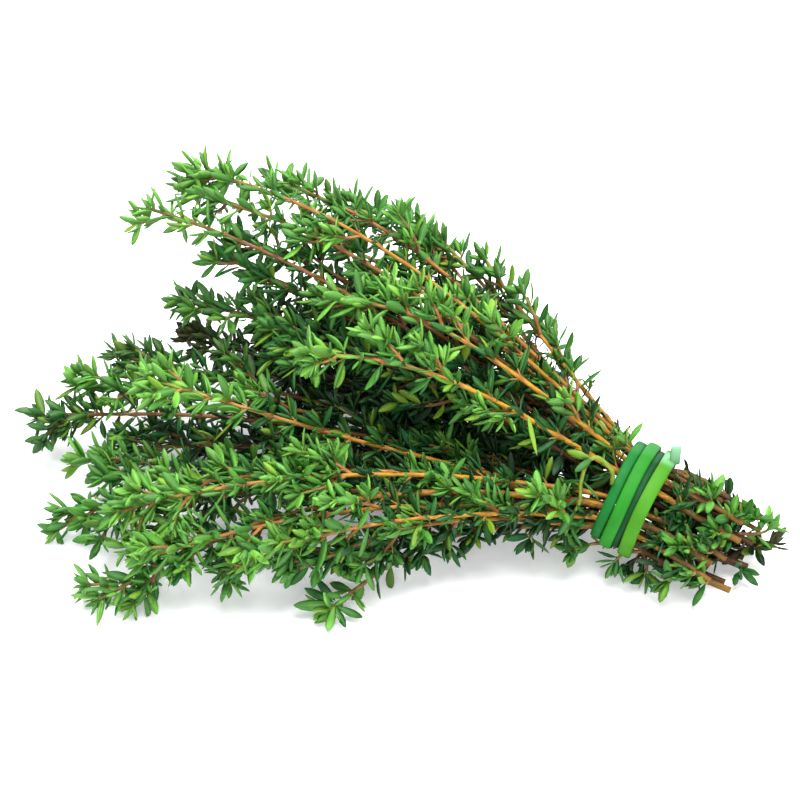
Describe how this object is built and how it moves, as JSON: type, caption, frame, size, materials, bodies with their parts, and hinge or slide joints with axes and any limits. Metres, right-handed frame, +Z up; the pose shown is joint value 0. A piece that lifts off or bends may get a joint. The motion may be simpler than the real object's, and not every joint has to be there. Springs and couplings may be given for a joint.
{
  "type": "bunch of thyme",
  "caption": "Bunch of leafy thyme stems lying on its side, fanned out at the tips and tied near the cut ends with a wound rubber band.",
  "frame": {"origin": "centre of the bunch's box, on the surface it lies on", "axes": "+X along the bunch towards the cut ends, +Y towards the high, far side of the fan, +Z up from the surface"},
  "size_m": [0.175, 0.1049, 0.0621],
  "materials": {
    "thyme": "satin",
    "rubber_band": "satin"
  },
  "bodies": {
    "root": {"sprig_01": "thyme", "sprig_02": "thyme", "sprig_03": "thyme", "sprig_04": "thyme", "sprig_05": "thyme", "sprig_06": "thyme", "sprig_07": "thyme", "sprig_08": "thyme", "sprig_09": "thyme", "sprig_10": "thyme", "sprig_11": "thyme", "sprig_12": "thyme", "sprig_13": "thyme", "sprig_14": "thyme", "sprig_15": "thyme", "sprig_16": "thyme", "sprig_17": "thyme", "sprig_18": "thyme", "sprig_19": "thyme", "sprig_20": "thyme", "sprig_21": "thyme", "sprig_22": "thyme", "sprig_23": "thyme", "sprig_24": "thyme", "sprig_25": "thyme", "sprig_26": "thyme", "sprig_27": "thyme", "sprig_28": "thyme", "sprig_29": "thyme", "sprig_30": "thyme", "sprig_31": "thyme", "sprig_32": "thyme", "sprig_33": "thyme", "sprig_34": "thyme", "rubber_band": "rubber_band"}
  },
  "joints": []
}
